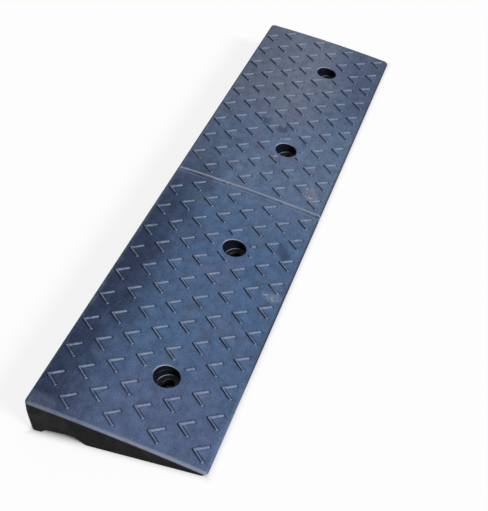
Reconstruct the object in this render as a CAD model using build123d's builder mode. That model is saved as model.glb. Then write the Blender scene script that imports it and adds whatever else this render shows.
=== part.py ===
# Rubber kerb ramp: two half-length mouldings butted at a joint across the middle, with a raised
# chevron tread, and a steel washer seated in each of the four stepped bolt holes.
# Sizes are in millimetres. The origin is on the ground at the middle of the footprint:
# +X runs along the kerb, +Y points to the kerb and +Z is up.
import os
from math import asin, atan2, cos, degrees, hypot, pi, radians, sin, sqrt, tan

from build123d import *

# Body of the ramp
LENGTH = 1000.0          # both halves together
WIDTH = 240.0            # footprint, from the toe to the foot of the kerb face
HEIGHT = 60.0            # top edge at the kerb
TOE_HEIGHT = 5.0         # thin edge at the road
CROWN = 3.0              # rise of the tread face above a straight slope, at its middle
KERB_UPRIGHT = 38.0      # the kerb face stands upright to about this height, then leans back
KERB_SETBACK = 3.3       # how far it leans back at the top
KERB_BEND_RADIUS = 100.0  # between its upright and its leaning part
EDGE_RADIUS = 4.5        # rounded edge all round the tread face, also along the joint
CORNER_RADIUS = 7.5      # outer corners, seen from above
FOOT_RADIUS = 6.0        # bottom edge of the kerb face

# Drain channel under the kerb side, open at both ends
FOOT_WIDTH = 12.0        # between the channel and the kerb face
CHANNEL_WIDTH = 66.0     # at ground level
CHANNEL_DEPTH = 13.0     # on the road side
CHANNEL_KERB_DEPTH = 10.5  # beside the foot
CHANNEL_KERB_RUN = 11.0  # sideways run of the wall beside the foot
CHANNEL_TOE_RUN = 16.0   # sideways run of the sloped wall on the road side
CHANNEL_RADIUS = 8.0     # corners of the channel, but for the sharp one at the foot

# Stepped bolt holes
HOLE_FROM_END = 110.0    # outer hole to the outer end of its half
HOLE_FROM_JOINT = 130.0  # inner hole to the joint
HOLE_FROM_TOE = 95.0
SEAT_HEIGHT = 11.0       # rubber left under the washer
COUNTERBORE_D = 35.0     # down to the top of the washer
BOLT_HOLE_D = 18.0       # clears a 16 mm bolt
RIM_CHAMFER = 1.4        # eased mouth of the counterbore
LAND_MARGIN = 7.5        # smooth ring round an inner counterbore, with no tread
OUTER_LAND_MARGIN = 8.5  # the same round an outer one

# Steel washers, each let into a pocket at the bottom of its counterbore
WASHER_D = 33.6
WASHER_THICKNESS = 3.0
WASHER_GAP = 0.2         # all round, between the washer and its pocket

# Chevron tread, measured on the slope, each chevron pointing to the kerb
ARM_LENGTH = 22.8        # along the outer side of an arm
ARM_ANGLE = 36.5         # degrees between an arm and the line straight down the slope
APEX_FLAT = 2.2          # width of the blunt apex
RIDGE_WIDTH = 5.0        # across an arm, at its foot
RIDGE_SIDE = 1.6         # sideways run of each sloped side, from the foot to the crest
RIDGE_HEIGHT = 2.3
RIDGE_SINK = 0.5         # a ridge's foot is this far under the tread face
COLUMN_PITCH = 50.0
ROW_PITCH = 29.75
EDGE_MARGIN = 1.05       # least smooth strip between a chevron and a rounded edge
SHORTEST_STUB = 4.65     # an arm that the smooth ring cuts shorter than this is left out

HALF = LENGTH / 2
TOE_Y = -WIDTH / 2
KERB_Y = WIDTH / 2
KERB_TOP_Y = KERB_Y - KERB_SETBACK
SLOPE_RUN = KERB_TOP_Y - TOE_Y
SLOPE_RISE = HEIGHT - TOE_HEIGHT
SLOPE_LENGTH = hypot(SLOPE_RUN, SLOPE_RISE)
SLOPE_ANGLE = atan2(SLOPE_RISE, SLOPE_RUN)
CROWN_RADIUS = (SLOPE_LENGTH**2 / 4 + CROWN**2) / (2 * CROWN)
CROWN_TURN = asin(SLOPE_LENGTH / 2 / CROWN_RADIUS)
HOLE_X = {"outer": -HALF + HOLE_FROM_END, "inner": -HOLE_FROM_JOINT}
HOLE_Y = TOE_Y + HOLE_FROM_TOE
LAND_RADIUS = {
    "outer": COUNTERBORE_D / 2 + OUTER_LAND_MARGIN,
    "inner": COUNTERBORE_D / 2 + LAND_MARGIN,
}
WASHER_TOP = SEAT_HEIGHT + WASHER_THICKNESS
CHEVRON_WIDTH = APEX_FLAT + 2 * ARM_LENGTH * sin(radians(ARM_ANGLE))
CHEVRON_HEIGHT = ARM_LENGTH * cos(radians(ARM_ANGLE)) + RIDGE_WIDTH * sin(radians(ARM_ANGLE))

# How far a rounded edge reaches onto the tread face, at the kerb and at the toe
KERB_LEAN = atan2(KERB_SETBACK, HEIGHT - KERB_UPRIGHT)
KERB_EDGE_ANGLE = pi / 2 - SLOPE_ANGLE + CROWN_TURN + KERB_LEAN
TOE_EDGE_ANGLE = pi / 2 + SLOPE_ANGLE + CROWN_TURN
KERB_EDGE_REACH = EDGE_RADIUS / tan(KERB_EDGE_ANGLE / 2)
TOE_EDGE_REACH = EDGE_RADIUS / tan(TOE_EDGE_ANGLE / 2)


def tread_plane(down_slope):
    """Plane that touches the crowned tread face, this far down the slope from the kerb edge."""
    along = SLOPE_LENGTH / 2 - down_slope
    reach = sqrt(CROWN_RADIUS**2 - along**2)
    rise = reach - CROWN_RADIUS + CROWN
    middle = Vector(0, (KERB_TOP_Y + TOE_Y) / 2, (HEIGHT + TOE_HEIGHT) / 2)
    up_slope = Vector(0, cos(SLOPE_ANGLE), sin(SLOPE_ANGLE))
    out = Vector(0, -sin(SLOPE_ANGLE), cos(SLOPE_ANGLE))
    normal = Vector(0, 0, 1).rotate(Axis.X, degrees(SLOPE_ANGLE - atan2(along, reach)))
    return Plane(middle + up_slope * along + out * rise, x_dir=(1, 0, 0), z_dir=normal)


def tread_face(half):
    """The crowned top face, which is the largest round one."""
    return half.faces().filter_by(GeomType.CYLINDER).sort_by(SortBy.AREA)[-1]


# One chevron ridge, lying on the tread face at Z = 0 with its apex on the origin and its arms to -Y
with BuildPart() as ridge:
    with BuildSketch(Plane.XY.offset(-RIDGE_SINK)) as ridge_foot:
        with BuildLine():
            apex = Line((0, 0), (APEX_FLAT / 2, 0))
            outer_side = PolarLine(apex @ 1, ARM_LENGTH, ARM_ANGLE - 90)
            arm_end = PolarLine(outer_side @ 1, RIDGE_WIDTH, ARM_ANGLE - 180)
            PolarLine(arm_end @ 1, (arm_end @ 1).X / sin(radians(ARM_ANGLE)), ARM_ANGLE + 90)
            mirror(about=Plane.YZ)
        make_face()
    with BuildSketch(Plane.XY.offset(RIDGE_HEIGHT)):
        add(ridge_foot.sketch_local)
        offset(amount=-RIDGE_SIDE, kind=Kind.INTERSECTION, mode=Mode.REPLACE)
    loft()

# Rows of chevrons down the left half, every second row moved along by half a pitch
with BuildPart() as tread_rows:
    first_row = KERB_EDGE_REACH + EDGE_MARGIN
    last_row = SLOPE_LENGTH - TOE_EDGE_REACH - EDGE_MARGIN - CHEVRON_HEIGHT
    last_x = HALF - EDGE_RADIUS - EDGE_MARGIN - CHEVRON_WIDTH / 2
    for row in range(int((last_row - first_row) / ROW_PITCH) + 1):
        first_x = COLUMN_PITCH / (1 + row % 2)
        columns = int((last_x - first_x) / COLUMN_PITCH) + 1
        with Locations(tread_plane(first_row + row * ROW_PITCH)):
            with Locations(*[(-first_x - COLUMN_PITCH * column, 0) for column in range(columns)]):
                add(ridge.part)
    for hole, hole_x in HOLE_X.items():
        with Locations((hole_x, HOLE_Y)):
            Cylinder(LAND_RADIUS[hole], 2 * HEIGHT, mode=Mode.SUBTRACT)

# Left half, from the outer end at -X to the joint at X = 0
with BuildPart() as left_half:
    with BuildSketch(Plane.YZ.offset(-HALF)):
        channel_kerb_y = KERB_Y - FOOT_WIDTH
        channel_toe_y = channel_kerb_y - CHANNEL_WIDTH
        with BuildLine():
            Line((TOE_Y, 0), (TOE_Y, TOE_HEIGHT))
            SagittaArc((TOE_Y, TOE_HEIGHT), (KERB_TOP_Y, HEIGHT), CROWN)
            FilletPolyline(
                (KERB_TOP_Y, HEIGHT),
                (KERB_Y, KERB_UPRIGHT),
                (KERB_Y, 0),
                radius=KERB_BEND_RADIUS,
            )
            Line((KERB_Y, 0), (channel_kerb_y, 0))
            FilletPolyline(
                (channel_kerb_y, 0),
                (channel_kerb_y - CHANNEL_KERB_RUN, CHANNEL_KERB_DEPTH),
                (channel_toe_y + CHANNEL_TOE_RUN, CHANNEL_DEPTH),
                (channel_toe_y, 0),
                (TOE_Y, 0),
                radius=CHANNEL_RADIUS,
            )
        make_face()
    extrude(amount=HALF)

    # Rounded corners and edges
    end_edges = left_half.faces().sort_by(Axis.X)[0].edges().sort_by(Axis.Y)
    fillet((end_edges[0], end_edges[-1]), CORNER_RADIUS)
    fillet(tread_face(left_half).edges(), EDGE_RADIUS)
    foot_edge = left_half.edges().filter_by(Axis.X).group_by(Axis.Z)[0].sort_by(Axis.Y)[-1]
    fillet(foot_edge, FOOT_RADIUS)

    # Stepped holes with eased mouths, and the washers' pockets
    with Locations(*[(x, HOLE_Y, HEIGHT) for x in HOLE_X.values()]):
        CounterBoreHole(BOLT_HOLE_D / 2, COUNTERBORE_D / 2, HEIGHT - WASHER_TOP, HEIGHT)
        Hole(WASHER_D / 2 + WASHER_GAP, HEIGHT - SEAT_HEIGHT)
    chamfer(tread_face(left_half).inner_wires().edges(), RIM_CHAMFER)

    # Chevron tread
    least_volume = SHORTEST_STUB * (RIDGE_WIDTH - RIDGE_SIDE) * (RIDGE_HEIGHT + RIDGE_SINK)
    add([solid for solid in tread_rows.solids() if solid.volume > least_volume])

# Right half, the left one's mirror image
with BuildPart() as right_half:
    mirror(left_half.part, about=Plane.YZ)

os.makedirs("parts", exist_ok=True)
left_half.part.label = "left_half"
export_step(left_half.part, "parts/left_half.step")
right_half.part.label = "right_half"
export_step(right_half.part, "parts/right_half.step")

# Steel washers, one on the seat of each hole
for side, direction in (("left", 1), ("right", -1)):
    for hole, hole_x in HOLE_X.items():
        with BuildPart() as washer:
            with BuildSketch(Plane((direction * hole_x, HOLE_Y, SEAT_HEIGHT))):
                Circle(WASHER_D / 2)
                Circle(BOLT_HOLE_D / 2, mode=Mode.SUBTRACT)
            extrude(amount=WASHER_THICKNESS)
        washer.part.label = f"{side}_{hole}_washer"
        export_step(washer.part, f"parts/{side}_{hole}_washer.step")
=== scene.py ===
# Rubber kerb ramp: the looks of its two rubber halves and its four washers, in a pale studio.
# Lengths are in metres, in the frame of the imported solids: +X along the kerb, +Y to the kerb, +Z up.
from math import atan2, cos, hypot, radians, sin

import bmesh
import bpy
from bpy.props import FloatProperty, FloatVectorProperty, PointerProperty
from bpy.types import Operator, Panel, PropertyGroup
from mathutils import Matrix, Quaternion, Vector


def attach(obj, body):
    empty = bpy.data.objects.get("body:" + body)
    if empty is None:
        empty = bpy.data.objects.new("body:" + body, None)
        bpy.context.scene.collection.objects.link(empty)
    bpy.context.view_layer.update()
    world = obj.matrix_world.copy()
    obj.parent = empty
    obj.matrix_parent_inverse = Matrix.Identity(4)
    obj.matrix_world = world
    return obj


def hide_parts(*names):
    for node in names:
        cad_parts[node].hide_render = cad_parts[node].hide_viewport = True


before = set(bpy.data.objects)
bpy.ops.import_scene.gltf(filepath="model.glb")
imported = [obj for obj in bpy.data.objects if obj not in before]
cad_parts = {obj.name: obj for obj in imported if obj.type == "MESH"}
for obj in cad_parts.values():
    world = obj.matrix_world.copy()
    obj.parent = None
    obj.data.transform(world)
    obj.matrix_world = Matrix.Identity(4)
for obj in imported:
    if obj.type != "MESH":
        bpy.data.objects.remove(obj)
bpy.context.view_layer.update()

bl_info = {
    "name": "Rubber kerb ramp",
    "version": (1, 0, 0),
    "blender": (4, 5, 0),
    "location": "View3D > Sidebar > Kerb Ramp",
    "description": "Makes the bloomed rubber halves and blackened washers of a kerb ramp, and a pale studio",
    "category": "Object",
}

BODY = "root"
HALVES = ("left_half", "right_half")
WASHERS = ("left_outer_washer", "left_inner_washer", "right_inner_washer", "right_outer_washer")
WHITE = (1.0, 1.0, 1.0, 1.0)

# The ramp's footprint, as in the solids
HALF_LENGTH = 0.500
HALF_WIDTH = 0.120

# The arc of the tread face, from its edge at the toe to its edge at the kerb, as in the solids
TOE_EDGE = Vector((0.0, -HALF_WIDTH, 0.005))
KERB_EDGE = Vector((0.0, 0.1167, 0.060))
CROWN = 0.003
CHORD = KERB_EDGE - TOE_EDGE
ARC_RADIUS = (CHORD.length_squared / 4 + CROWN**2) / (2 * CROWN)
OUTWARD = Vector((0.0, -CHORD.z, CHORD.y)).normalized()
SLOPE = atan2(CHORD.z, CHORD.y)
ARC_CENTRE = (TOE_EDGE + KERB_EDGE) / 2 + OUTWARD * (CROWN - ARC_RADIUS)

# The four holes, in one row with the joint half-way
HOLE_PITCH = 0.260
HOLE_Y = -0.025

# Level directions, as X and Y: to the side of a hole that takes a painted highlight, and to the left toe
# corner
TO_LIT_SIDE = (0.80, 0.60)
TO_TOE_CORNER = (-0.84, -0.54)

# The chevrons' lattice, measured down the chord of the arc, as in the solids
FIRST_ROW = 0.0057
ROW_PITCH = 0.02975
COLUMN_PITCH = 0.050
APEX_HALF = 0.0011
ARM_ANGLE = radians(36.5)
ARM_LENGTH = 0.0228
RIDGE_WIDTH = 0.0050

# How the edges to round are known: a chevron's crest is 2.3 mm above the tread face, its foot on it
CREST_LEAST = 0.0018
FOOT_MOST = 0.0004
CREST_ANGLE = radians(50)
ARM_END_ANGLE = radians(70)
APEX_ANGLE = radians(35)
WASHER_EDGE_ANGLE = radians(50)

# Cleaning and shading of the meshes
MERGE_DISTANCE = 1e-6
SLIVER = 5e-6
UPWARD_LEAST = 0.9
FLAT_LEAST = 0.99999
FLAT_ANGLE = radians(0.5)
RUBBER_SMOOTH = radians(40)
STEEL_SMOOTH = radians(33)

# The studio. The floor is a little under the ramp, so that their faces don't mix.
FLOOR_GAP = 0.0002
FLOOR_FADE = 0.010
KEY_DIRECTION = Vector((0.30, 0.82, -0.50))
CAMERA_PLACE = (-1.05391, -0.41794, 0.90420)
CAMERA_AZIMUTH = radians(21.7886)
CAMERA_DIP = radians(41.7370)
CAMERA_ROLL = radians(-4.309)
CAMERA_LENS = 62.92
CAMERA_SHIFT = (-0.01111, 0.00319)
CAMERA_REACH = 100.0


def length_prop(name, default, description):
    """A length that a user may change."""
    return FloatProperty(name=name, description=description, default=default, min=0.0, unit="LENGTH",
                         subtype="DISTANCE", precision=5)


def colour_prop(name, default, description):
    """A colour that a user may change."""
    return FloatVectorProperty(name=name, description=description, default=default, size=3, min=0.0,
                               max=1.0, subtype="COLOR")


class RubberSettings(PropertyGroup):
    """Sizes and colours of the rubber halves."""

    crest_round: length_prop("Crest rounding", 0.0005, "Rounding along the top edges of a chevron")
    end_round: length_prop("Arm end rounding", 0.0010, "Rounding of the corners at a chevron's arm ends")
    apex_round: length_prop("Apex rounding", 0.0004, "Rounding of the corners at a chevron's apex")
    bloom_blue: colour_prop("Blue bloom", (0.062, 0.106, 0.195), "Bloom on the left half's tread")
    bloom_pale: colour_prop("Pale bloom", (0.087, 0.127, 0.205), "Bloom on the right half, by the joint")
    # Grey on the right half is dusty bloom and painted sheen
    bloom_grey_and_sheen: colour_prop("Grey bloom", (0.112, 0.136, 0.192), "Dusty bloom on the right half's tread")
    bloom_slate: colour_prop("Slate bloom", (0.060, 0.082, 0.138), "Bloom by the right half's toe")
    bloom_violet: colour_prop("Violet bloom", (0.095, 0.095, 0.165), "Blotches in the bloom")
    bloom_green: colour_prop("Green bloom", (0.078, 0.105, 0.140), "Blotches in the bloom")
    # Indigo is a painted dark reflection along the kerb side, smudge stains, and painted shade on some
    # rounded edges
    indigo_stain_shade_and_reflection: colour_prop("Indigo bloom", (0.021, 0.030, 0.060), "Thin bloom by the kerb, and smudges")
    black: colour_prop("Fresh black", (0.0022, 0.0021, 0.0020), "Rubber on the ends, sides and underside")
    # Navy is painted shade on the chevrons' kerb sides, on their right-facing toe sides, around their feet
    # and on one side of the rims; it also tints the lower hole walls
    navy: colour_prop("Painted shade navy", (0.010, 0.016, 0.036), "Chevrons' kerb sides, and dirt at their feet")
    # This grey is real wear on scratches, edges and scuffs, and painted highlight on crests, left-facing toe
    # sides, rims, joint lips and a hole wall
    wear_and_highlight: colour_prop("Worn grey", (0.172, 0.208, 0.280), "Rubbed crests, edges and rims")
    chalk: colour_prop("Chalk", (0.330, 0.320, 0.350), "Dried scuffs and specks")
    clay: colour_prop("Clay", (0.135, 0.115, 0.120), "Dirt in the scuffs, in the joint and on the ends")


class WasherSettings(PropertyGroup):
    """Sizes and colours of the washers."""

    rim: length_prop("Rim", 0.0006, "Width of the flat top of a washer's raised rim")
    rim_slope: length_prop("Rim slope", 0.0010, "Sideways run from the rim down to the washer's face")
    dish: length_prop("Dish", 0.0008, "Depth of a washer's face under its rim")
    edge_round: length_prop("Edge rounding", 0.0003, "Rounding along a washer's edges")
    # Near black: a blackened finish, dark enough to also stand as painted shade deep in the holes
    blackened: colour_prop("Blackened steel", (0.024, 0.025, 0.029), "Oiled black finish")
    # Grey of rubbed steel, shown only on the lit side of each washer as a painted highlight
    bare_highlight: colour_prop("Rubbed grey", (0.43, 0.44, 0.48), "Dull grey where the finish is rubbed off")
    rust: colour_prop("Rust", (0.020, 0.015, 0.013), "Rust film in patches")


class StageSettings(PropertyGroup):
    """Floor and light."""

    floor_size: length_prop("Floor size", 24.0, "Length of the floor's sides")
    floor_white: colour_prop("Floor", (0.95, 0.95, 0.95), "Colour of the floor")
    # Grey under the ramp is painted shade, seen through the holes
    floor_under_shade: colour_prop("Covered floor", (0.25, 0.25, 0.25), "Colour of the floor under the ramp")
    floor_glow: FloatProperty(
        name="Floor glow",
        description="Share of plain white that the camera sees in the floor",
        default=0.85,
        min=0.0,
        max=1.0,
        subtype="FACTOR",
    )
    sky_strength: FloatProperty(
        name="Fill",
        description="Strength of the even light from all round",
        default=0.36,
        min=0.0,
    )
    key_strength: FloatProperty(
        name="Key",
        description="Strength of the soft light from the toe side",
        default=3.6,
        min=0.0,
    )
    key_angle: FloatProperty(
        name="Key softness",
        description="Width of the soft light, seen from the ramp",
        default=radians(14),
        min=0.0,
        unit="ROTATION",
        subtype="ANGLE",
    )


class Link:
    """One output of a shader node. Arithmetic on it adds Math nodes to its tree."""

    def __init__(self, finish, socket):
        self.finish = finish
        self.socket = socket

    def math(self, operation, first, second):
        return self.finish.node("ShaderNodeMath", {"operation": operation}, {0: first, 1: second})

    def __add__(self, other):
        return self.math("ADD", self, other)

    def __radd__(self, other):
        return self.math("ADD", other, self)

    def __sub__(self, other):
        return self.math("SUBTRACT", self, other)

    def __rsub__(self, other):
        return self.math("SUBTRACT", other, self)

    def __mul__(self, other):
        return self.math("MULTIPLY", self, other)

    def __rmul__(self, other):
        return self.math("MULTIPLY", other, self)

    def __truediv__(self, other):
        return self.math("DIVIDE", self, other)

    def __rtruediv__(self, other):
        return self.math("DIVIDE", other, self)

    def __abs__(self):
        return self.math("ABSOLUTE", self, 0.0)

    def most(self, other):
        return self.math("MAXIMUM", self, other)

    def root(self):
        return self.math("SQRT", self, 0.0)

    def floor(self):
        return self.math("FLOOR", self, 0.0)

    def remainder(self, divisor):
        return self.math("FLOORED_MODULO", self, divisor)

    def rise(self, start, end):
        """A soft step from 0 at start to 1 at end."""
        settings = {"interpolation_type": "SMOOTHSTEP"}
        inputs = {"Value": self, "From Min": start, "From Max": end, "To Min": 0.0, "To Max": 1.0}
        return self.finish.node("ShaderNodeMapRange", settings, inputs)

    def fall(self, start, end):
        """A soft step from 1 at start to 0 at end."""
        return 1.0 - self.rise(start, end)

    def band(self, first, last):
        """1 between a soft step up and a soft step down."""
        return self.rise(*first) * self.fall(*last)

    def line(self, base, slope):
        """A base value plus a slope times this one."""
        return base + self * slope


class Finish:
    """A node tree that is being built. Every node is added by its one method, node()."""

    def __init__(self, owner):
        owner.use_nodes = True
        self.tree = owner.node_tree
        self.tree.nodes.clear()

    def node(self, kind, settings=None, inputs=None, output=0):
        made = self.tree.nodes.new(kind)
        for name, value in (settings or {}).items():
            setattr(made, name, value)
        for key, value in (inputs or {}).items():
            if isinstance(value, Link):
                self.tree.links.new(value.socket, made.inputs[key])
            else:
                made.inputs[key].default_value = value
        return Link(self, made.outputs[output]) if made.outputs else None

    def blend(self, share, first, second):
        """Two colours mixed, by the share of the second."""
        return self.node("ShaderNodeMix", {"data_type": "RGBA"}, {0: share, 6: first, 7: second}, output=2)

    def coat(self, colour, over, share):
        """A colour with a share of a colour setting over it."""
        return self.blend(share, colour, rgba(over))

    def mixed(self, share, first, second):
        """Two shaders mixed, by the share of the second."""
        return self.node("ShaderNodeMixShader", {}, {0: share, 1: first, 2: second})

    def noise(self, place, scale, detail=2.0, roughness=0.5, distortion=0.0):
        """A noise value about 0.5."""
        inputs = {"Vector": place, "Scale": scale, "Detail": detail, "Roughness": roughness,
                  "Distortion": distortion}
        return self.node("ShaderNodeTexNoise", {}, inputs)

    def parts(self, vector):
        """The x, y and z of a vector."""
        split = self.node("ShaderNodeSeparateXYZ", {}, {0: vector})
        return [Link(self, split.socket.node.outputs[axis]) for axis in range(3)]

    def place(self):
        """The point on the piece, in the frame of the solids."""
        return self.node("ShaderNodeTexCoord", output="Object")

    def facing(self):
        """The way the surface faces."""
        return self.node("ShaderNodeNewGeometry", output="Normal")

    def from_behind(self):
        """1 on the back of a face, 0 on its front."""
        return self.node("ShaderNodeNewGeometry", output="Backfacing")

    def seen(self):
        """1 where the camera looks straight, in a mirror or through glass, 0 for the light of a surface."""
        camera = self.node("ShaderNodeLightPath", output="Is Camera Ray")
        rays = camera.socket.node.outputs
        return camera.most(Link(self, rays["Is Glossy Ray"])).most(Link(self, rays["Is Transmission Ray"]))

    def shaded(self, colour, value):
        """A colour made lighter or darker by a value."""
        return self.node("ShaderNodeVectorMath", {"operation": "SCALE"}, {0: colour, "Scale": value})

    def bumped(self, sizes, height):
        """A normal that follows a height."""
        return self.node("ShaderNodeBump", {}, {**sizes, "Height": height})

    def streaks(self, place, turn, length, width, height):
        """A noise value about 0.5, drawn out along lines that are turned from the ramp's length."""
        scale = (1 / length, 1 / width, 1 / height)
        inputs = {"Vector": place, "Rotation": (0.0, 0.0, -turn), "Scale": scale}
        return self.noise(self.node("ShaderNodeMapping", {}, inputs), 1.0, 1.0)

    def oval(self, x, y, centre, reach, turn):
        """An oval on the tread, its first reach turned from the ramp's length: 1 in its middle, 0 outside."""
        along = ((x - centre[0]) * cos(turn) + (y - centre[1]) * sin(turn)) / reach[0]
        across = ((y - centre[1]) * cos(turn) - (x - centre[0]) * sin(turn)) / reach[1]
        return (along * along + across * across).fall(*OVAL_EDGE)

    def ovals(self, x, y, marks):
        """The ovals of a list of marks, together."""
        together = self.oval(x, y, *marks[0])
        for mark in marks[1:]:
            together = together.most(self.oval(x, y, *mark))
        return together

    def surface(self, inputs):
        """Ends the tree of a material with one shader of these inputs."""
        shader = self.node("ShaderNodeBsdfPrincipled", {}, inputs)
        self.node("ShaderNodeOutputMaterial", {}, {"Surface": shader})


def rgba(colour):
    """A colour setting with full alpha, as a node's socket takes it."""
    return (*colour, 1.0)


def from_hole(x, y):
    """How far a point is from the middle of the nearest hole, and how squarely on the side of the hole that
    takes a painted highlight.
    """
    along = x.remainder(HOLE_PITCH) - HOLE_PITCH / 2
    across = y - HOLE_Y
    distance = (along * along + across * across).root()
    return distance, (along * TO_LIT_SIDE[0] + across * TO_LIT_SIDE[1]) / distance


# In the values below, a soft step is (start, end), a straight line is (base, slope),
# and a noise is (scale, detail, roughness, distortion)

# Noises on the rubber
CLOUDS = (4.5, 3.0, 0.55, 0.4)
BLOTCHES = (15.0, 4.0, 0.55, 0.8)
MOTTLE = (75.0, 4.0, 0.6)
GRAIN = (650.0, 2.0, 0.6)
SPECKS = (330.0, 1.0)
PATCHINESS = (160.0, 3.0, 0.65)
FRAYING = (240.0, 4.0, 0.7)
EDGE_PATCHES = (32.0, 3.0, 0.6)
TEARING = (210.0, 5.0, 0.75, 1.2)
DUST = (26.0, 5.0, 0.65, 0.6)
NOISE_MIDDLE = 0.5
SPECKS_SHOWN = (0.70, 0.78)
EDGE_PATCHES_SHOWN = (0.45, 0.62)
DUST_SHOWN = (0.44, 0.70)

# Scratches: turn from the ramp's length, length, width and height, then where they show
TREAD_SCRATCHES = (
    ((radians(38), 0.060, 0.0012, 0.060), (0.68, 0.76)),
    ((radians(-55), 0.045, 0.0010, 0.045), (0.70, 0.78)),
)
KERB_SCRATCHES = (0.0, 0.070, 0.070, 0.0018)
KERB_SCRATCHES_SHOWN = (0.60, 0.72)
SCRATCH_SHARE = 0.22

# Painted shade along the chevrons' feet
RIDGE_FOOT = (0.00003, 0.00015)
JOINT_COLUMN = (0.010, 0.020)
LAST_COLUMN = (0.479, 0.481)
CUT_BY_HOLE = (0.0310, 0.0330)
LEFT_ARM = (-0.0005, 0.0005)
INNER_SIDE = (-0.0035, -0.0030)
OUTER_SIDE = (-0.0005, 0.0005)
PAST_ARM = (-0.0003, 0.0003)
RIGHT_HALF = (0.0, 0.20)
SHADE_REACH = (0.0, 0.0017)
SHADE_DEPTH = (0.25, 0.65)

# The bloom's colours, with painted sheen in the right half's grey and a painted dark reflection by the kerb,
# along the ramp and across it
BLOOM_DRIFT_ALONG = 0.25
BLOOM_DRIFT_ACROSS = 0.12
BLOOM_MIDDLE = (-0.10, 0.015)
PALE_ALONG = (-0.11, 0.05)
GREY_ALONG = (0.11, 0.28)
SLATE_ALONG = (0.18, 0.36)
VIOLET_ALONG = (-0.48, -0.33)
VIOLET_END_SHARE = 0.35
VIOLET_BLOTCHES = (0.05, 0.20)
VIOLET_SHARE = 0.42
GREEN_BLOTCHES = (-0.20, -0.05)
GREEN_SHARE = 0.55
INDIGO_DRIFT = 0.10
INDIGO_STRIP = (0.015, 0.105)
INDIGO_ALONG = (-0.18, 0.18)
INDIGO_DEPTH = (0.25, 0.70)
SMUDGE_WARP = 0.03
SMUDGE_DEPTH = (0.55, 1.5)
BLOOM_MOTTLE = 1.05
BLOOM_GRAIN = 1.4
BLOOM_SPECKS = (0.05, 0.15)

# Wear of the chevrons, with painted light and shade on their crests and sides, by the height above the tread
# face and the way a side faces
CREST = (0.0011, 0.0017)
RIGHT_CRESTS = (0.05, 0.30)
RIGHT_CREST_WEAR_AND_HIGHLIGHT = (1.0, -0.35)
CREST_WEAR_AND_HIGHLIGHT = (-0.55, 2.2)
TOE_SIDE = (-0.35, -0.12)
FACING_RIGHT = (-0.10, 0.10)
TOE_SIDE_LIGHT = (-0.2, 1.6)
RIGHT_SIDE_SHARE = 0.75
KERB_SIDE = (0.05, 0.22)
UNDER_CREST = (0.0015, 0.0021)
PAST_LEFT_ROWS = (-0.48, -0.30)
TOE_ROWS = (-0.07, 0.02)
KERB_SIDE_DEPTH = (0.45, 0.5)

# Wear and painted shade on the rounded edges
ROUNDED = (-0.0005, -0.0001)
FACING_UP = (0.40, 0.70)
TOE_ROUNDING = (-0.117, -0.112)
JOINT_ROUNDING = (0.006, 0.008)
LEFT_END_ROUNDING = (-0.4950, -0.4930)
RIGHT_END_ROUNDING = (0.494, 0.498)
KERB_ROUNDING = (0.111, 0.115)
RUBBED_ALONG = (-0.10, 0.15)
ROUNDED_WEAR = (0.25, 2.0)
SHADED_EDGE = (-0.0004, 0.0)
SHADED_TOE_ALONG = (-0.42, -0.28)
SHADED_KERB_ALONG = (-0.05, 0.15)
EDGE_SHADE_SHARE = 0.6

# Painted highlight and shade on the holes' rims
RIM = (0.0188, 0.0194)
RIM_LIP = (0.0182, 0.0188)
RIM_DROP = (-0.0003, 0.0)
RIM_SHADED = (-0.50, 0.10)
RIM_LIT = (0.28, 0.60)
RIM_BRIGHTEST = (0.50, 0.66)
RIM_SHADE_SHARE = 0.55
RIM_LIGHT_SHARE = 0.65
RIM_BRIGHTEST_SHARE = 0.5

# The joint's groove, and the painted highlight on its lips
GROOVE = (0.0010, 0.0030)
GROOVE_SHARE = 0.12
RIGHT_LIP = ((0.0020, 0.0032), (0.0046, 0.0058))
LEFT_LIP = ((-0.0058, -0.0050), (-0.0042, -0.0034))
LEFT_LIP_SHARE = 0.6
LIP_BRIGHTEST = (0.35, 0.65)
LIP_BRIGHTEST_SHARE = 0.15

# Wear of the left end's edge and of the kerb edge
END_WARP = 0.005
LEFT_END = (-0.4984, -0.4946)
LEFT_END_TOE = (-0.08, 0.08)
LEFT_END_DEPTH = (0.55, 0.45)
LEFT_END_WEAR = (0.52, 1.4)
LEFT_END_CHALK = (0.30, 0.5)
KERB_WARP = 0.010
KERB_STRIP = (0.108, 0.116)
KERB_STRIP_END = (0.1, 0.4)
KERB_STRIP_START = (-0.42, -0.30)
KERB_STRIP_DEPTH = (0.35, 0.65)
KERB_STRIP_PATCHES = (0.35, 0.5)
KERB_STRIP_WEAR = (-0.42, 1.7)
CORNER_WEAR = (-0.15, 0.7)

# The black rubber of the sides, the ends and the holes
BLACK_MOTTLE = 1.5
BLACK_SPECKS_SHARE = 0.12
HOLE_WALL = (0.0178, 0.0181)
HOLE_WALL_DROP = (-0.0040, -0.0020)
HOLE_WALL_SHARE = 0.30
WALL_GLINT = ((0.0222, 0.0227), (0.0232, 0.0237))
WALL_GLINT_SIDE = (0.75, 0.97)
LEFT_OUTER_HOLE = (-0.30, -0.25)
WALL_GLINT_SHARE = 0.16
FACING_KERB = (0.90, 0.97)
KERB_FACE = (0.112, 0.116)
KERB_FACE_UPPER = (0.012, 0.040)
KERB_DUST_SHARE = 0.10
KERB_SCRATCH_SHARE = 0.16
END_FACE = (0.4980, 0.4995)
END_DUST_LEAST = 0.15
END_DUST = (0.09, 0.35)

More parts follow.
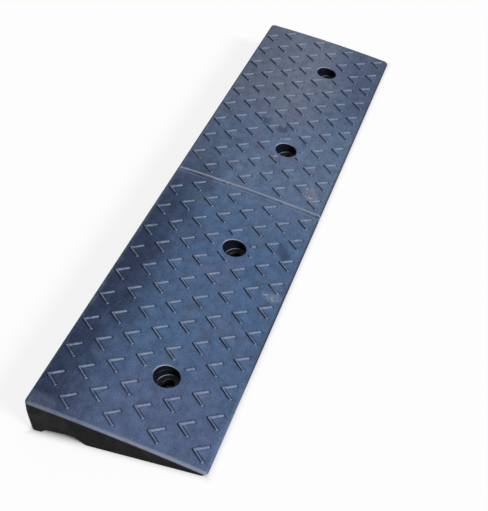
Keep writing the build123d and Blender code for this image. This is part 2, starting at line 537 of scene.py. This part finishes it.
# Where the bloom ends and the black rubber starts
BLOOM_UPWARD = (0.10, 0.60)
BLOOM_DROP = (-0.0018, -0.0012)
BLOOM_LOWEST = (-0.0065, -0.0045)
JOINT_SIDES = ((0.0, 0.0004), (0.0048, 0.0056))
TOE_FACE = (-0.1195, -0.1180)
TOE_FACE_END = (-0.40, -0.28)
TOE_CORNER_Y = (-0.1170, -0.1130)
TOE_CORNER_X = (-0.490, -0.480)

# Gloss and bump of the rubber
RUBBER_ROUGHNESS = (0.52, 0.3)
RUBBED_HEIGHT = (0.0004, 0.0012)
RUBBED_POLISH = 0.09
RUBBER_GLOSS = 0.045
RUBBER_BUMP = {"Strength": 0.2, "Distance": 0.0006}
GRAIN_HEIGHT = 0.4
MOTTLE_HEIGHT = 0.7

# The washers' steel
STEEL_PATCHES = (180.0, 4.0, 0.6, 0.5)
STEEL_SCRATCHES = (1400.0, 3.0, 0.65)
RUSTED = (0.50, 0.70)
RUST_SHARE = 0.5
BARE_RIM = (0.0157, 0.0161)
BARE_BORE = (0.0091, 0.0098)
BARE_BORE_SHARE = 0.15
BARE_SCRATCHES = (0.55, 0.45)
HIGHLIGHT_SIDE = (0.60, 0.92)
STEEL_ROUGHNESS = (0.52, 0.2)
SCRATCH_ROUGHNESS = 0.08
STEEL_BUMP = {"Strength": 0.15, "Distance": 0.0002}

# Marks on the tread: centre, half length and half width, and turn from the ramp's length
OVAL_EDGE = (0.1, 1.0)
CHALK_HAZES = (
    ((0.044, -0.0945), (0.0230, 0.0140), radians(20)),
)
DULL_HAZES = (
    ((-0.197, -0.105), (0.0170, 0.0120), radians(-80)),
    ((-0.186, -0.110), (0.0090, 0.0030), radians(50)),
)
CHALK_FLECKS = (
    ((0.0355, -0.0968), (0.0060, 0.0022), radians(-75)),
    ((0.0535, -0.0842), (0.0030, 0.0018), radians(20)),
    ((0.0360, -0.0868), (0.0022, 0.0016), radians(0)),
    ((-0.1945, -0.0935), (0.0060, 0.0022), radians(-70)),
    ((-0.1985, -0.1050), (0.0035, 0.0016), radians(30)),
    ((-0.1762, -0.1125), (0.0016, 0.0012), radians(0)),
    ((0.0009, 0.0315), (0.0014, 0.0011), radians(0)),
)
CLAY_MARKS = (
    ((0.045, -0.0945), (0.0200, 0.0120), radians(20)),
    ((-0.1800, -0.1005), (0.0080, 0.0022), radians(43)),
    ((-0.1895, -0.1120), (0.0080, 0.0013), radians(55)),
)
SMUDGES = (
    ((0.188, 0.028), (0.0170, 0.0125), radians(20)),
    ((0.182, -0.004), (0.0160, 0.0120), radians(-35)),
    ((-0.105, -0.093), (0.0260, 0.0110), radians(30)),
)
KERB_CORNER = ((-0.492, 0.102), (0.018, 0.030), 0.0)

# Scuffs by the toe and in the groove, in order: colour, marks, where they tear, share
SCUFF_WARP = 0.012
SCUFFS = (
    ("clay", CLAY_MARKS, (0.36, 0.56), 0.55),
    ("wear_and_highlight", DULL_HAZES, (0.38, 0.58), 0.75),
    ("chalk", CHALK_HAZES, (0.46, 0.63), 0.65),
    ("chalk", CHALK_FLECKS, (0.38, 0.52), 0.8),
)


class RubberPoint:
    """What the rubber's finish depends on at a point of its surface."""

    def __init__(self, finish):
        self.place = finish.place()
        self.x, self.y, self.z = finish.parts(self.place)
        self.rightward, self.kerbward, self.up = finish.parts(finish.facing())
        self.lean = self.kerbward * cos(SLOPE) + self.up * sin(SLOPE)
        self.to_corner = self.rightward * TO_TOE_CORNER[0] + self.kerbward * TO_TOE_CORNER[1]
        across = self.y - ARC_CENTRE.y
        rise = self.z - ARC_CENTRE.z
        self.above = (across * across + rise * rise).root() - ARC_RADIUS
        self.hole, self.lit_side = from_hole(self.x, self.y)
        self.clouds = finish.noise(self.place, *CLOUDS) - NOISE_MIDDLE
        self.blotches = finish.noise(self.place, *BLOTCHES) - NOISE_MIDDLE
        self.mottle = finish.noise(self.place, *MOTTLE) - NOISE_MIDDLE
        self.grain = finish.noise(self.place, *GRAIN) - NOISE_MIDDLE
        self.specks = finish.noise(self.place, *SPECKS).rise(*SPECKS_SHOWN)
        self.patchiness = finish.noise(self.place, *PATCHINESS)
        # Painted shade around the chevrons' feet
        self.shade = self.painted_foot_shade()

    def painted_foot_shade(self):
        """Painted shade on the tread along the foot of a chevron, deepest beside its arms on their shadowed
        side.
        """
        down = (KERB_EDGE.y - self.y) * cos(SLOPE) + (KERB_EDGE.z - self.z) * sin(SLOPE) - FIRST_ROW
        row = (down / ROW_PITCH).floor()
        shift = row.remainder(2.0) * (COLUMN_PITCH / 2)
        column = ((self.x - shift) / COLUMN_PITCH + 0.5).floor() * COLUMN_PITCH + shift
        below = down - row * ROW_PITCH
        beside = abs(self.x - column) - APEX_HALF
        outside = beside * cos(ARM_ANGLE) - below * sin(ARM_ANGLE)
        past_end = beside * sin(ARM_ANGLE) + below * cos(ARM_ANGLE) - ARM_LENGTH
        gap = outside.most(-RIDGE_WIDTH - outside).most(past_end)
        made = abs(column).band(JOINT_COLUMN, LAST_COLUMN) * self.hole.rise(*CUT_BY_HOLE)
        left = (self.x - column).fall(*LEFT_ARM)
        shaded_side = left * outside.fall(*INNER_SIDE)
        shaded_side = shaded_side.most((1.0 - left) * past_end.rise(*PAST_ARM))
        shaded_side = shaded_side.most(left * outside.rise(*OUTER_SIDE) * self.x.rise(*RIGHT_HALF))
        return made * gap.fall(*SHADE_REACH) * self.above.fall(*RIDGE_FOOT) * shaded_side.line(*SHADE_DEPTH)


def bloom_colour(finish, point, settings):
    """Blue bloom on the left half, greyer to the right as dusty bloom and painted sheen, and a painted dark
    reflection by the kerb edge.
    """
    along = point.x + point.clouds * BLOOM_DRIFT_ALONG
    middle = (point.y + point.clouds * BLOOM_DRIFT_ACROSS).rise(*BLOOM_MIDDLE)
    colour = finish.coat(rgba(settings.bloom_blue), settings.bloom_pale, along.rise(*PALE_ALONG))
    # Greyer right half: dusty bloom and painted sheen
    colour = finish.coat(colour, settings.bloom_grey_and_sheen, along.rise(*GREY_ALONG) * middle)
    colour = finish.coat(colour, settings.bloom_slate, along.rise(*SLATE_ALONG) * (1.0 - middle))
    colour = finish.coat(colour, settings.bloom_violet, along.fall(*VIOLET_ALONG) * VIOLET_END_SHARE)
    violet = point.blotches.rise(*VIOLET_BLOTCHES) * VIOLET_SHARE
    colour = finish.coat(colour, settings.bloom_violet, violet)
    green = point.blotches.fall(*GREEN_BLOTCHES) * GREEN_SHARE
    colour = finish.coat(colour, settings.bloom_green, green)

    # A painted dark reflection along the kerb side of the tread, darkest on the left half
    strip = (point.y + point.blotches * INDIGO_DRIFT).rise(*INDIGO_STRIP)
    dark_reflection = strip * along.fall(*INDIGO_ALONG).line(*INDIGO_DEPTH)
    colour = finish.coat(colour, settings.indigo_stain_shade_and_reflection, dark_reflection)
    warp = point.mottle * SMUDGE_WARP
    smudges = finish.ovals(point.x + warp, point.y + warp, SMUDGES)
    colour = finish.coat(colour, settings.indigo_stain_shade_and_reflection, smudges * point.mottle.line(*SMUDGE_DEPTH))
    colour = finish.shaded(colour, point.mottle.line(1.0, BLOOM_MOTTLE) + point.grain * BLOOM_GRAIN)
    return finish.coat(colour, settings.chalk, point.specks * strip.line(*BLOOM_SPECKS))


def worn_lit_and_shaded_chevrons(finish, point, settings, colour):
    """Scratches on the tread, crests lighter by rubbed wear and a painted highlight, painted light on the toe
    sides that face left, and painted shade on the kerb sides and on the toe sides that face right.
    """
    scratches = [finish.streaks(point.place, *drawn).rise(*shown) for drawn, shown in TREAD_SCRATCHES]
    colour = finish.coat(colour, settings.wear_and_highlight, scratches[0].most(scratches[1]) * SCRATCH_SHARE)

    # Lighter crests: rubbed wear and a painted highlight
    crest = point.above.rise(*CREST) * point.x.rise(*RIGHT_CRESTS).line(*RIGHT_CREST_WEAR_AND_HIGHLIGHT)
    colour = finish.coat(colour, settings.wear_and_highlight, crest * point.patchiness.line(*CREST_WEAR_AND_HIGHLIGHT))
    # Navy here is painted shade around the chevrons' feet
    colour = finish.coat(colour, settings.navy, point.shade)

    # Toe sides that face left take painted light; toe sides that face right and the kerb sides take painted
    # shade
    ridge = point.above.rise(*RIDGE_FOOT)
    toe_side = ridge * point.lean.fall(*TOE_SIDE)
    right_side = toe_side * point.rightward.rise(*FACING_RIGHT)
    left_side = toe_side - right_side
    colour = finish.coat(colour, settings.wear_and_highlight, left_side * point.patchiness.line(*TOE_SIDE_LIGHT))
    kerb_side = ridge * point.lean.rise(*KERB_SIDE) * point.above.fall(*UNDER_CREST)
    shaded_part = point.x.rise(*PAST_LEFT_ROWS).most(point.y.fall(*TOE_ROWS))
    kerb_side = kerb_side * shaded_part.line(*KERB_SIDE_DEPTH)
    # Navy on the kerb sides and on the right-facing toe sides is painted shade
    return finish.coat(colour, settings.navy, kerb_side.most(right_side * RIGHT_SIDE_SHARE))


def worn_and_shaded_edges(finish, point, settings, colour):
    """The rounded edges, rubbed on the left half, with painted shade on them along the toe, along the kerb on
    the right half and at the right end.
    """
    rounded = point.above.fall(*ROUNDED) * point.up.rise(*FACING_UP) * point.y.rise(*TOE_ROUNDING)
    rounded = rounded * abs(point.x).rise(*JOINT_ROUNDING) * point.x.band(LEFT_END_ROUNDING, RUBBED_ALONG)
    colour = finish.coat(colour, settings.wear_and_highlight, rounded * point.mottle.line(*ROUNDED_WEAR))
    # Indigo over the toe edge, the right half's kerb edge and the right end's rounding is painted shade
    toe_edge = point.y.fall(*TOE_ROUNDING) * point.x.rise(*SHADED_TOE_ALONG)
    kerb_edge = point.y.rise(*KERB_ROUNDING) * point.x.rise(*SHADED_KERB_ALONG)
    edge_shade = toe_edge.most(kerb_edge.most(point.x.rise(*RIGHT_END_ROUNDING)))
    return finish.coat(colour, settings.indigo_stain_shade_and_reflection, point.above.fall(*SHADED_EDGE) * edge_shade * EDGE_SHADE_SHARE)


def lit_and_shaded_rims(finish, point, settings, colour):
    """The holes' eased mouths, with a painted highlight on the side toward the left toe corner and painted
    shade on the other side.
    """
    rim = point.hole.fall(*RIM) * point.above.fall(*RIM_DROP)
    # Navy on the side away from the toe corner is painted shade
    shaded_part = rim * point.to_corner.fall(*RIM_SHADED)
    colour = finish.coat(colour, settings.navy, shaded_part * RIM_SHADE_SHARE)
    # Grey and chalk on the side toward the toe corner are a painted highlight
    rubbed = rim * point.to_corner.rise(*RIM_LIT)
    colour = finish.coat(colour, settings.wear_and_highlight, rubbed * RIM_LIGHT_SHARE)
    brightest = rim * point.to_corner.rise(*RIM_BRIGHTEST) * point.hole.fall(*RIM_LIP)
    return finish.coat(colour, settings.chalk, brightest * RIM_BRIGHTEST_SHARE)


def joint_dirt_and_lip_highlight(finish, point, settings, colour):
    """Dirt in the joint's groove, and a painted highlight on its lips."""
    colour = finish.coat(colour, settings.clay, abs(point.x).fall(*GROOVE) * GROOVE_SHARE)
    # Grey and chalk on the lips are a painted highlight
    right_lip = point.x.band(*RIGHT_LIP)
    left_lip = point.x.band(*LEFT_LIP) * LEFT_LIP_SHARE
    colour = finish.coat(colour, settings.wear_and_highlight, right_lip + left_lip)
    brightest = right_lip * point.patchiness.rise(*LIP_BRIGHTEST)
    return finish.coat(colour, settings.chalk, brightest * LIP_BRIGHTEST_SHARE)


def frayed_edges(finish, point, settings, colour):
    """The left end's edge and the kerb edge, frayed by wear, and the scuffed corner between them."""
    left_end = (point.x + point.mottle * END_WARP).fall(*LEFT_END)
    left_end = left_end * point.y.fall(*LEFT_END_TOE).line(*LEFT_END_DEPTH)
    colour = finish.coat(colour, settings.wear_and_highlight, left_end * point.mottle.line(*LEFT_END_WEAR))
    colour = finish.coat(colour, settings.chalk, left_end * point.grain.line(*LEFT_END_CHALK))

    fraying = finish.noise(point.place, *FRAYING)
    patches = finish.noise(point.place, *EDGE_PATCHES).rise(*EDGE_PATCHES_SHOWN)
    strip = (point.y + point.mottle * KERB_WARP).rise(*KERB_STRIP) * point.x.fall(*KERB_STRIP_END)
    strip = strip * point.x.rise(*KERB_STRIP_START).line(*KERB_STRIP_DEPTH)
    strip = strip * patches.line(*KERB_STRIP_PATCHES) * fraying.line(*KERB_STRIP_WEAR)
    colour = finish.coat(colour, settings.wear_and_highlight, strip)
    corner = finish.oval(point.x, point.y, *KERB_CORNER)
    return finish.coat(colour, settings.wear_and_highlight, corner * fraying.line(*CORNER_WEAR))


def scuffed_toe(finish, point, settings, colour):
    """Dirt and dried chalk where something was dragged over the toe side."""
    warp = point.mottle * SCUFF_WARP
    x = point.x + warp
    y = point.y + warp
    torn = finish.noise(point.place, *TEARING)
    for over, marks, torn_at, share in SCUFFS:
        scuff = finish.ovals(x, y, marks) * torn.rise(*torn_at) * share
        colour = finish.coat(colour, getattr(settings, over), scuff)
    return colour


def black_colour(finish, point, settings):
    """Black rubber, dusty on the kerb face and the ends, with a painted glint on the left outer hole's wall.
    """
    colour = finish.shaded(settings.black, point.mottle.line(1.0, BLACK_MOTTLE))
    colour = finish.coat(colour, settings.chalk, point.specks * BLACK_SPECKS_SHARE)
    wall = point.hole.fall(*HOLE_WALL)
    lower_wall = wall * point.above.fall(*HOLE_WALL_DROP)
    colour = finish.coat(colour, settings.navy, lower_wall * HOLE_WALL_SHARE)
    # A painted glint: a faint light band on one side of the left outer hole's wall
    wall_glint = point.z.band(*WALL_GLINT) * wall
    wall_glint = wall_glint * point.lit_side.rise(*WALL_GLINT_SIDE) * point.x.fall(*LEFT_OUTER_HOLE)
    colour = finish.coat(colour, settings.wear_and_highlight, wall_glint * WALL_GLINT_SHARE)

    dust = finish.noise(point.place, *DUST).rise(*DUST_SHOWN)
    scratches = finish.streaks(point.place, *KERB_SCRATCHES).rise(*KERB_SCRATCHES_SHOWN)
    scratches = scratches * point.z.rise(*KERB_FACE_UPPER)
    kerb_face = point.kerbward.rise(*FACING_KERB) * point.y.rise(*KERB_FACE)
    kerb_wear = kerb_face * (dust * KERB_DUST_SHARE + scratches * KERB_SCRATCH_SHARE)
    colour = finish.coat(colour, settings.wear_and_highlight, kerb_wear)
    end_dust = abs(point.x).rise(*END_FACE) * (END_DUST_LEAST + dust) * point.grain.line(*END_DUST)
    return finish.coat(colour, settings.clay, end_dust)


def bloomed_share(point):
    """1 on the tread, its rounded edges and the dusty end of the toe face, 0 on the black rubber."""
    joint = abs(point.x).band(*JOINT_SIDES)
    tread = point.up.rise(*BLOOM_UPWARD).most(point.above.rise(*BLOOM_DROP)).most(joint)
    tread = tread * point.above.rise(*BLOOM_LOWEST)
    toe_face = point.y.fall(*TOE_FACE) * point.x.fall(*TOE_FACE_END)
    toe_corner = point.y.fall(*TOE_CORNER_Y) * point.x.fall(*TOE_CORNER_X)
    return tread.most(toe_face).most(toe_corner)


def rubber_finish(settings):
    """Black rubber with a bloom on its tread, rubbed crests and edges, and old scuffs."""
    material = bpy.data.materials.new("bloomed_rubber")
    finish = Finish(material)
    point = RubberPoint(finish)
    tread = bloom_colour(finish, point, settings)
    for wear in (worn_lit_and_shaded_chevrons, worn_and_shaded_edges, lit_and_shaded_rims, joint_dirt_and_lip_highlight, frayed_edges, scuffed_toe):
        tread = wear(finish, point, settings, tread)
    black = black_colour(finish, point, settings)
    polish = point.above.rise(*RUBBED_HEIGHT) * RUBBED_POLISH
    height = point.grain * GRAIN_HEIGHT + point.mottle * MOTTLE_HEIGHT
    finish.surface({
        "Base Color": finish.blend(bloomed_share(point), black, tread),
        "Roughness": point.mottle.line(*RUBBER_ROUGHNESS) - polish,
        "Specular IOR Level": RUBBER_GLOSS,
        "Normal": finish.bumped(RUBBER_BUMP, height),
    })
    return material


def steel_finish(settings):
    """Blackened steel, dark enough to stand as painted shade in the holes, with a film of rust in patches,
    and rubbed grey kept to one side of its rim and bore as a painted highlight.
    """
    material = bpy.data.materials.new("blackened_steel")
    finish = Finish(material)
    place = finish.place()
    x, y, _ = finish.parts(place)
    radius, lit_side = from_hole(x, y)
    patches = finish.noise(place, *STEEL_PATCHES)
    scratches = finish.noise(place, *STEEL_SCRATCHES)

    rusty = patches.rise(*RUSTED) * RUST_SHARE
    # Grey on one side of the rim and bore: rubbed steel, kept to the lit side as a painted highlight
    bare_highlight = radius.rise(*BARE_RIM).most(radius.fall(*BARE_BORE) * BARE_BORE_SHARE)
    bare_highlight = bare_highlight * scratches.line(*BARE_SCRATCHES) * lit_side.rise(*HIGHLIGHT_SIDE)
    # Blackened colour, also painted shade for the depth of the holes
    colour = finish.coat(rgba(settings.blackened), settings.rust, rusty)
    finish.surface({
        "Base Color": finish.coat(colour, settings.bare_highlight, bare_highlight),
        "Metallic": (1.0 - rusty) * (1.0 - bare_highlight),
        "Roughness": patches.line(*STEEL_ROUGHNESS) + scratches * SCRATCH_ROUGHNESS,
        "Normal": finish.bumped(STEEL_BUMP, scratches),
    })
    return material


def merged_copy(node, name):
    """A copy of a node of the solids with its loose triangles joined, selected in edit mode."""
    bpy.ops.object.select_all(action="DESELECT")
    piece = bpy.data.objects.new(name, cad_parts[node].data.copy())
    piece.data.name = name
    piece.data.materials.clear()
    bpy.context.scene.collection.objects.link(piece)
    bpy.context.view_layer.objects.active = piece
    piece.select_set(True)
    bpy.ops.object.mode_set(mode="EDIT")
    bpy.ops.mesh.select_all(action="SELECT")
    bpy.ops.mesh.remove_doubles(threshold=MERGE_DISTANCE)
    return piece


def select_faces(piece, wanted):
    """Selects the faces that wanted() picks, and no others."""
    bpy.ops.mesh.select_mode(type="FACE")
    bpy.ops.mesh.select_all(action="DESELECT")
    mesh = bmesh.from_edit_mesh(piece.data)
    for face in mesh.faces:
        face.select_set(wanted(face))
    bmesh.update_edit_mesh(piece.data)


def round_edges(piece, wanted, reach, segments):
    """Rounds the outward edges that wanted() picks."""
    bpy.ops.mesh.select_mode(type="EDGE")
    bpy.ops.mesh.select_all(action="DESELECT")
    mesh = bmesh.from_edit_mesh(piece.data)
    picked = [edge for edge in mesh.edges if edge.is_convex and wanted(edge)]
    if not picked:
        raise RuntimeError(f"{piece.name} has no edges to round here")
    for edge in picked:
        edge.select_set(True)
    bmesh.update_edit_mesh(piece.data)
    bpy.ops.mesh.bevel(offset=reach, segments=segments, affect="EDGES", clamp_overlap=False)


def join_flat_faces(piece):
    """Joins the triangles of each end, side and underside, so that its shading is even up to its edges."""
    select_faces(piece, is_flat_face)
    bpy.ops.mesh.dissolve_limited(angle_limit=FLAT_ANGLE)


def finished(piece, node, material, smooth_angle):
    """Cleans and shades a piece, gives it its material, and puts it in the place of its node."""
    bpy.ops.mesh.select_all(action="SELECT")
    bpy.ops.mesh.dissolve_degenerate(threshold=SLIVER)
    bpy.ops.object.mode_set(mode="OBJECT")
    bpy.ops.object.shade_smooth_by_angle(angle=smooth_angle)
    bpy.ops.object.modifier_add(type="WEIGHTED_NORMAL")
    piece.modifiers[-1].keep_sharp = True
    bpy.ops.object.modifier_apply(modifier=piece.modifiers[-1].name)
    piece.data.materials.append(material)
    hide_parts(node)
    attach(piece, BODY)


def above_tread(vertex):
    """How far a vertex is above the tread face."""
    return hypot(vertex.co.y - ARC_CENTRE.y, vertex.co.z - ARC_CENTRE.z) - ARC_RADIUS


def is_crest_edge(edge):
    on_crest = all(above_tread(vertex) > CREST_LEAST for vertex in edge.verts)
    return on_crest and edge.calc_face_angle() > CREST_ANGLE


def is_corner_edge(edge):
    """An edge that runs from a chevron's foot up to its crest."""
    heights = sorted(above_tread(vertex) for vertex in edge.verts)
    return abs(heights[0]) < FOOT_MOST and heights[1] > CREST_LEAST


def is_arm_end_edge(edge):
    return is_corner_edge(edge) and edge.calc_face_angle() > ARM_END_ANGLE


def is_apex_edge(edge):
    return is_corner_edge(edge) and APEX_ANGLE < edge.calc_face_angle() < ARM_END_ANGLE


def is_washer_edge(edge):
    return edge.calc_face_angle() > WASHER_EDGE_ANGLE


def is_flat_face(face):
    return max(abs(face.normal.x), abs(face.normal.y), -face.normal.z) > FLAT_LEAST


def is_upward_face(face):
    return face.normal.z > UPWARD_LEAST


class KERB_RAMP_OT_rubber_halves(Operator):
    """Make the two rubber halves, with rounded chevrons and bloomed rubber"""

    bl_idname = "kerb_ramp.rubber_halves"
    bl_label = "Rubber Halves"

    def execute(self, context):
        settings = context.scene.kerb_ramp_rubber
        material = rubber_finish(settings)
        for node in HALVES:
            piece = merged_copy(node, node + "_rubber")
            round_edges(piece, is_arm_end_edge, settings.end_round, segments=1)
            round_edges(piece, is_apex_edge, settings.apex_round, segments=1)
            round_edges(piece, is_crest_edge, settings.crest_round, segments=2)
            join_flat_faces(piece)
            finished(piece, node, material, RUBBER_SMOOTH)
        return {"FINISHED"}


class KERB_RAMP_OT_washers(Operator):
    """Make the four blackened washers, dished, with a raised rim and eased edges"""

    bl_idname = "kerb_ramp.washers"
    bl_label = "Washers"

    def execute(self, context):
        settings = context.scene.kerb_ramp_washer
        material = steel_finish(settings)
        for node in WASHERS:
            piece = merged_copy(node, node + "_steel")
            self.dish(piece, settings)
            round_edges(piece, is_washer_edge, settings.edge_round, segments=2)
            finished(piece, node, material, STEEL_SMOOTH)
        return {"FINISHED"}

    def dish(self, piece, settings):
        """Sinks the top face inside a rim."""
        mesh = bmesh.from_edit_mesh(piece.data)
        top = max(vertex.co.z for vertex in mesh.verts)
        middle = sum((vertex.co for vertex in mesh.verts), Vector()) / len(mesh.verts)
        outside = max((vertex.co - middle).xy.length for vertex in mesh.verts)
        select_faces(piece, is_upward_face)
        bpy.ops.mesh.inset(thickness=settings.rim, depth=0.0)
        bpy.ops.mesh.inset(thickness=settings.rim_slope, depth=0.0)

        bpy.ops.mesh.select_mode(type="VERT")
        bpy.ops.mesh.select_all(action="DESELECT")
        mesh = bmesh.from_edit_mesh(piece.data)
        sunk = outside - settings.rim - settings.rim_slope / 2
        for vertex in mesh.verts:
            on_top = vertex.co.z > top - MERGE_DISTANCE
            vertex.select_set(on_top and (vertex.co - middle).xy.length < sunk)
        mesh.select_flush_mode()
        bmesh.update_edit_mesh(piece.data)
        bpy.ops.transform.translate(value=(0.0, 0.0, -settings.dish))


class KERB_RAMP_OT_studio(Operator):
    """Make the pale floor, the soft light and the camera"""

    bl_idname = "kerb_ramp.studio"
    bl_label = "Studio"

    def execute(self, context):
        settings = context.scene.kerb_ramp_stage
        self.floor(settings)
        self.light(context.scene, settings)
        self.camera(context.scene)
        context.scene.view_settings.view_transform = "Standard"
        return {"FINISHED"}

    def floor(self, settings):
        """A plain floor, with painted shade under the ramp, and clear from below."""
        bpy.ops.object.select_all(action="DESELECT")
        bpy.ops.mesh.primitive_plane_add(size=settings.floor_size, location=(0.0, 0.0, -FLOOR_GAP))
        floor = bpy.context.active_object
        floor.name = "studio_floor"
        material = bpy.data.materials.new("pale_floor")
        finish = Finish(material)
        x, y, _ = finish.parts(finish.place())
        past_end = abs(x).rise(HALF_LENGTH - FLOOR_FADE, HALF_LENGTH + FLOOR_FADE)
        past_side = abs(y).rise(HALF_WIDTH - FLOOR_FADE, HALF_WIDTH + FLOOR_FADE)
        beside = past_end.most(past_side)
        # Grey under the ramp's footprint is painted shade
        shaded_floor = finish.node("ShaderNodeBsdfDiffuse", {}, {"Color": rgba(settings.floor_under_shade)})
        white = finish.node("ShaderNodeBsdfDiffuse", {}, {"Color": rgba(settings.floor_white)})
        glow = finish.node("ShaderNodeEmission", {}, {"Color": WHITE, "Strength": 1.0})
        clear = finish.node("ShaderNodeBsdfTransparent")
        shader = finish.mixed(beside, shaded_floor, white)
        shader = finish.mixed(finish.seen() * beside * settings.floor_glow, shader, glow)
        shader = finish.mixed(finish.from_behind(), shader, clear)
        finish.node("ShaderNodeOutputMaterial", {}, {"Surface": shader})
        floor.data.materials.append(material)

    def light(self, scene, settings):
        """An even fill that the camera sees as white, and a soft key from the toe side."""
        world = bpy.data.worlds.new("studio_light")
        scene.world = world
        finish = Finish(world)
        fill = finish.node("ShaderNodeBackground", {}, {"Strength": settings.sky_strength, "Color": WHITE})
        white = finish.node("ShaderNodeBackground", {}, {"Strength": 1.0, "Color": WHITE})
        shader = finish.mixed(finish.seen(), fill, white)
        finish.node("ShaderNodeOutputWorld", {}, {"Surface": shader})
        bpy.ops.object.light_add(type="SUN")
        key = bpy.context.active_object
        key.name = "key_light"
        key.data.energy = settings.key_strength
        key.data.angle = settings.key_angle
        key.rotation_mode = "QUATERNION"
        key.rotation_quaternion = KEY_DIRECTION.to_track_quat("-Z", "Y")

    def camera(self, scene):
        """The camera at the photo's viewing angle."""
        bpy.ops.object.camera_add(location=CAMERA_PLACE)
        camera = bpy.context.active_object
        camera.name = "photo_camera"
        level = Vector((cos(CAMERA_AZIMUTH), sin(CAMERA_AZIMUTH), 0.0))
        forward = level * cos(CAMERA_DIP) + Vector((0.0, 0.0, -sin(CAMERA_DIP)))
        roll = Quaternion((0.0, 0.0, 1.0), CAMERA_ROLL)
        camera.rotation_mode = "QUATERNION"
        camera.rotation_quaternion = forward.to_track_quat("-Z", "Y") @ roll
        camera.data.lens = CAMERA_LENS
        camera.data.shift_x, camera.data.shift_y = CAMERA_SHIFT
        camera.data.clip_end = CAMERA_REACH
        scene.camera = camera


class KERB_RAMP_PT_panel(Panel):
    """Lists the pieces of the kerb ramp and their settings"""

    bl_label = "Kerb Ramp"
    bl_space_type = "VIEW_3D"
    bl_region_type = "UI"
    bl_category = "Kerb Ramp"

    def draw(self, context):
        for operator, group in PIECES:
            box = self.layout.box()
            box.operator(operator)
            settings = getattr(context.scene, group)
            for name in settings.__annotations__:
                box.prop(settings, name)


PIECES = (
    ("kerb_ramp.rubber_halves", "kerb_ramp_rubber"),
    ("kerb_ramp.washers", "kerb_ramp_washer"),
    ("kerb_ramp.studio", "kerb_ramp_stage"),
)
GROUPS = {
    "kerb_ramp_rubber": RubberSettings,
    "kerb_ramp_washer": WasherSettings,
    "kerb_ramp_stage": StageSettings,
}
CLASSES = (
    RubberSettings,
    WasherSettings,
    StageSettings,
    KERB_RAMP_OT_rubber_halves,
    KERB_RAMP_OT_washers,
    KERB_RAMP_OT_studio,
    KERB_RAMP_PT_panel,
)


def register():
    for each in CLASSES:
        bpy.utils.register_class(each)
    for name, group in GROUPS.items():
        setattr(bpy.types.Scene, name, PointerProperty(type=group))


def unregister():
    for name in GROUPS:
        delattr(bpy.types.Scene, name)
    for each in reversed(CLASSES):
        bpy.utils.unregister_class(each)


def main():
    register()
    bpy.ops.kerb_ramp.rubber_halves()
    bpy.ops.kerb_ramp.washers()
    bpy.ops.kerb_ramp.studio()


if __name__ == "__main__":
    main()
